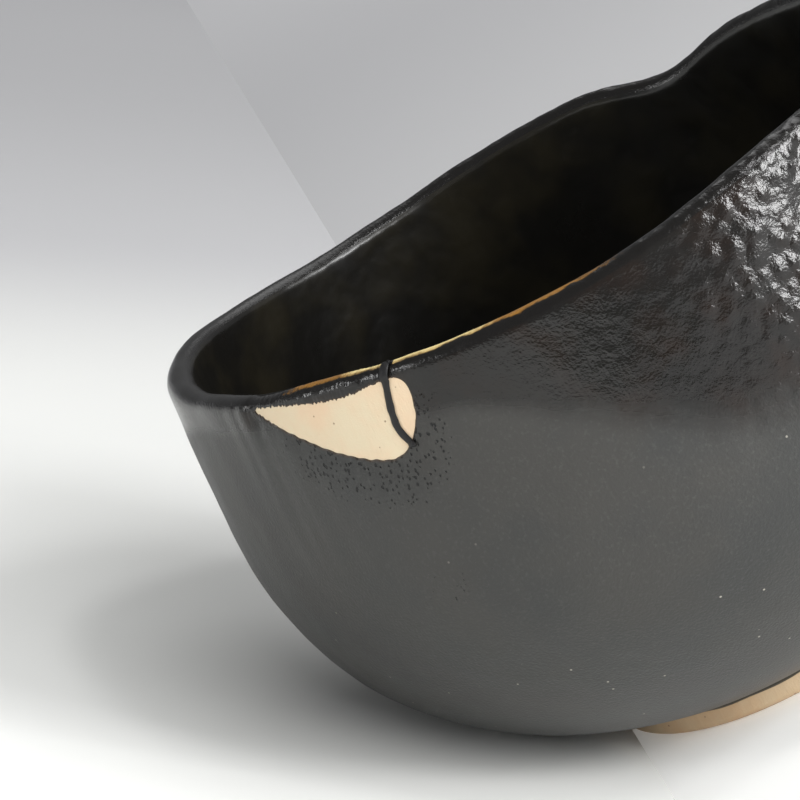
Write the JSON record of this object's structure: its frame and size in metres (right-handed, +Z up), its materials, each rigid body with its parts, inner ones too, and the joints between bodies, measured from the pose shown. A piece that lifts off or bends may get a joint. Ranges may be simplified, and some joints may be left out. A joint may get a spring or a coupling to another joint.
{
  "type": "matcha bowl",
  "caption": "Hand-formed ceramic tea bowl with a deep open inside, an uneven rim, black glaze with a bare leaf-shaped window, and a bare foot ring.",
  "frame": {"origin": "centre of the flat plane that the foot ring stands on", "axes": "+Z up through the bowl's mouth; +X out through the middle of the bare window in the outside glaze"},
  "size_m": [0.1252, 0.1252, 0.0808],
  "materials": {
    "buff_clay": "bare fired stoneware, matt, fine sandy grain",
    "foot_clay": "bare fired stoneware, matt, slightly toasted",
    "black_glaze": "black glaze, satin low down and glossy and pebbled towards the lip",
    "inner_black_glaze": "smooth glossy black glaze",
    "amber_glaze": "glaze run thin over the lip, amber to cream",
    "stripe_glaze": "brushed black line, satin",
    "foot_dark_glaze": "thin satin black glaze"
  },
  "bodies": {
    "root": {"clay_body": "buff_clay", "foot_ring": "foot_clay", "outer_glaze": "black_glaze", "inner_glaze": "inner_black_glaze", "lip_glaze": "amber_glaze", "window_stripe": "stripe_glaze", "foot_glaze": "foot_dark_glaze"}
  },
  "joints": []
}
